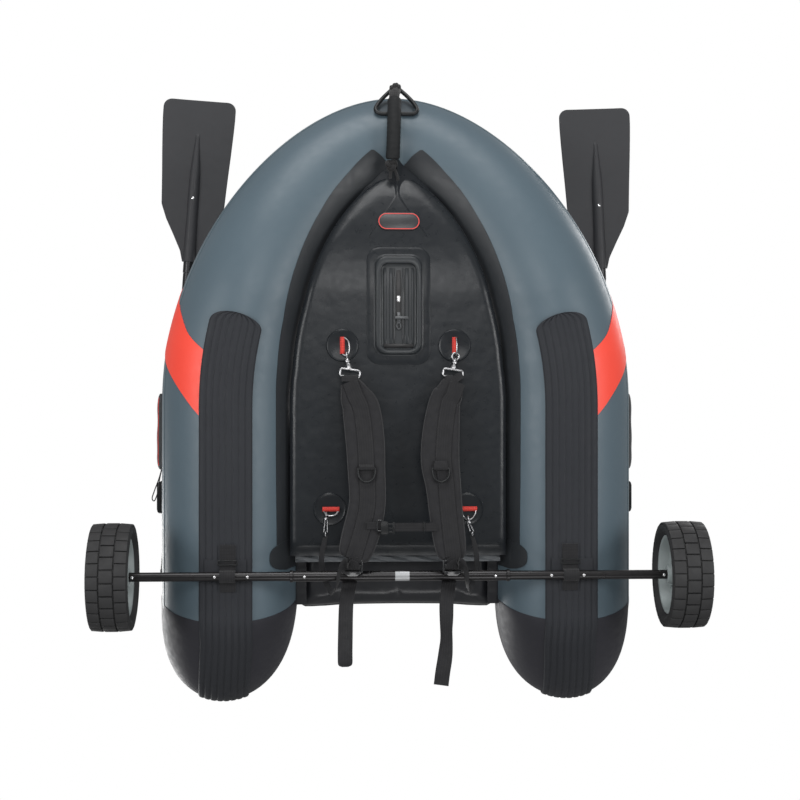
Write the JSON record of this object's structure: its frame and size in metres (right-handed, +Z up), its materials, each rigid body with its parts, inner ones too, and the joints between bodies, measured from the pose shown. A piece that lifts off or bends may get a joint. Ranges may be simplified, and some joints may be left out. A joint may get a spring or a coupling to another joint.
{
  "type": "float tube",
  "caption": "One-person inflatable horseshoe float tube with a padded floor, seat and backrest, oars, carrying harness and a wheeled axle.",
  "frame": {"origin": "centre of the bounding box at ground level, with the boat parked on its wheels and bow", "axes": "+Y to the bow, +X to starboard, +Z up from the ground; the hull is pitched 13.1 degrees bow-down about X"},
  "size_m": [1.46, 1.5636, 0.6146],
  "materials": {
    "chamber_grey": "satin",
    "charcoal": "satin",
    "strip_black": "matt, ribbed",
    "floor_black": "glossy",
    "seat_black": "satin",
    "deck_grey": "woven",
    "webbing_black": "woven",
    "pad_black": "woven",
    "moulded_black": "moulded",
    "axle_black": "black anodised",
    "steel": "bright",
    "tyre_black": "moulded",
    "hub_grey": "moulded",
    "oar_grey": "moulded",
    "oar_black": "black anodised",
    "tab_red": "woven"
  },
  "bodies": {
    "hull": {"accessory_base": "moulded_black", "adjust_strap_port": "webbing_black", "adjust_strap_starboard": "webbing_black", "air_chamber_port": "chamber_grey", "air_chamber_starboard": "chamber_grey", "axle_centre_tube": "axle_black", "axle_section_port": "axle_black", "axle_section_starboard": "axle_black", "axle_strap_port": "webbing_black", "axle_strap_starboard": "webbing_black", "bow_ring": "moulded_black", "cargo_bag_port": "webbing_black", "cargo_bag_starboard": "webbing_black", "floor_panel": "floor_black", "handle_cord": "webbing_black", "handle_grip": "webbing_black", "keel_strip_port": "strip_black", "keel_strip_starboard": "strip_black", "ladder_lock_port": "moulded_black", "ladder_lock_starboard": "moulded_black", "oarlock_base_port": "moulded_black", "oarlock_base_starboard": "moulded_black", "ring_mount_aft_port": "tab_red", "ring_mount_aft_starboard": "tab_red", "ring_mount_fore_port": "tab_red", "ring_mount_fore_starboard": "tab_red", "seat_cushion": "seat_black", "seat_deck": "deck_grey", "shoulder_pad_port": "pad_black", "shoulder_pad_starboard": "pad_black", "snap_hook_port": "steel", "snap_hook_starboard": "steel", "stern_cone_port": "charcoal", "stern_cone_starboard": "charcoal", "sternum_buckle": "moulded_black", "sternum_strap": "webbing_black", "valve_body_port": "moulded_black", "valve_body_starboard": "moulded_black"},
    "wheel_starboard": {"tyre_starboard": "tyre_black", "hub_starboard": "hub_grey"},
    "axle_button_starboard": {"axle_button_starboard": "steel"},
    "hub_pin_starboard": {"hub_pin_starboard": "steel"},
    "oarlock_starboard": {"oarlock_starboard": "moulded_black"},
    "oar_starboard": {"oar_shaft_starboard": "oar_black", "oar_grip_starboard": "moulded_black", "oar_blade_starboard": "oar_grey"},
    "valve_cap_starboard": {"valve_cap_starboard": "moulded_black"},
    "pad_ring_starboard": {"pad_ring_starboard": "moulded_black"},
    "wheel_port": {"tyre_port": "tyre_black", "hub_port": "hub_grey"},
    "axle_button_port": {"axle_button_port": "steel"},
    "hub_pin_port": {"hub_pin_port": "steel"},
    "oarlock_port": {"oarlock_port": "moulded_black"},
    "oar_port": {"oar_shaft_port": "oar_black", "oar_grip_port": "moulded_black", "oar_blade_port": "oar_grey"},
    "valve_cap_port": {"valve_cap_port": "moulded_black"},
    "pad_ring_port": {"pad_ring_port": "moulded_black"},
    "backrest": {"backrest": "seat_black"},
    "accessory_slider": {"accessory_slider": "steel"}
  },
  "joints": [
    {"name": "wheel_spin_starboard", "type": "hinge", "parent": "hull", "child": "wheel_starboard", "pos_m": [0.681, -0.50067, 0.128], "axis": [1, 0, 0], "continuous": true},
    {"name": "axle_button_press_starboard", "type": "slide", "parent": "hull", "child": "axle_button_starboard", "axis": [0, 0.2253, 0.9743], "range_m": [0, 0.0025], "stiffness_N_per_m": 400},
    {"name": "hub_pin_press_starboard", "type": "slide", "parent": "hull", "child": "hub_pin_starboard", "axis": [0, 0.2253, 0.9743], "range_m": [0, 0.0025], "stiffness_N_per_m": 400},
    {"name": "oarlock_swing_starboard", "type": "hinge", "parent": "hull", "child": "oarlock_starboard", "pos_m": [0.583, -0.23563, 0.5019], "axis": [0, -0.2253, -0.9743], "range_deg": [0, 100]},
    {"name": "oar_dip_starboard", "type": "hinge", "parent": "oarlock_starboard", "child": "oar_starboard", "pos_m": [0.583, -0.23563, 0.5019], "axis": [0.9976, 0.068, -0.0157], "range_deg": [-12, 10]},
    {"name": "valve_cap_turn_starboard", "type": "hinge", "parent": "hull", "child": "valve_cap_starboard", "pos_m": [0.38584, 0.1929, 0.32993], "axis": [0, 0.2253, 0.9743], "range_deg": [0, 90]},
    {"name": "pad_ring_swing_starboard", "type": "hinge", "parent": "hull", "child": "pad_ring_starboard", "pos_m": [0.08, -0.25114, 0.07082], "axis": [1, 0, 0], "range_deg": [0, 150]},
    {"name": "wheel_spin_port", "type": "hinge", "parent": "hull", "child": "wheel_port", "pos_m": [-0.681, -0.50067, 0.128], "axis": [1, 0, 0], "continuous": true},
    {"name": "axle_button_press_port", "type": "slide", "parent": "hull", "child": "axle_button_port", "axis": [0, 0.2253, 0.9743], "range_m": [0, 0.0025], "stiffness_N_per_m": 400},
    {"name": "hub_pin_press_port", "type": "slide", "parent": "hull", "child": "hub_pin_port", "axis": [0, 0.2253, 0.9743], "range_m": [0, 0.0025], "stiffness_N_per_m": 400},
    {"name": "oarlock_swing_port", "type": "hinge", "parent": "hull", "child": "oarlock_port", "pos_m": [-0.583, -0.23563, 0.5019], "axis": [0, 0.2253, 0.9743], "range_deg": [0, 100]},
    {"name": "oar_dip_port", "type": "hinge", "parent": "oarlock_port", "child": "oar_port", "pos_m": [-0.583, -0.23563, 0.5019], "axis": [0.9992, -0.0391, 0.009], "range_deg": [-12, 10]},
    {"name": "valve_cap_turn_port", "type": "hinge", "parent": "hull", "child": "valve_cap_port", "pos_m": [-0.38584, 0.1929, 0.32993], "axis": [0, 0.2253, 0.9743], "range_deg": [0, 90]},
    {"name": "pad_ring_swing_port", "type": "hinge", "parent": "hull", "child": "pad_ring_port", "pos_m": [-0.098, -0.25114, 0.07082], "axis": [1, 0, 0], "range_deg": [0, 150]},
    {"name": "backrest_fold", "type": "hinge", "parent": "hull", "child": "backrest", "pos_m": [0, -0.11983, 0.31912], "axis": [1, 0, 0], "range_deg": [0, 100]},
    {"name": "accessory_slider_slide", "type": "slide", "parent": "hull", "child": "accessory_slider", "axis": [0, 0.9743, -0.2253], "range_m": [-0.045, 0.045]}
  ]
}
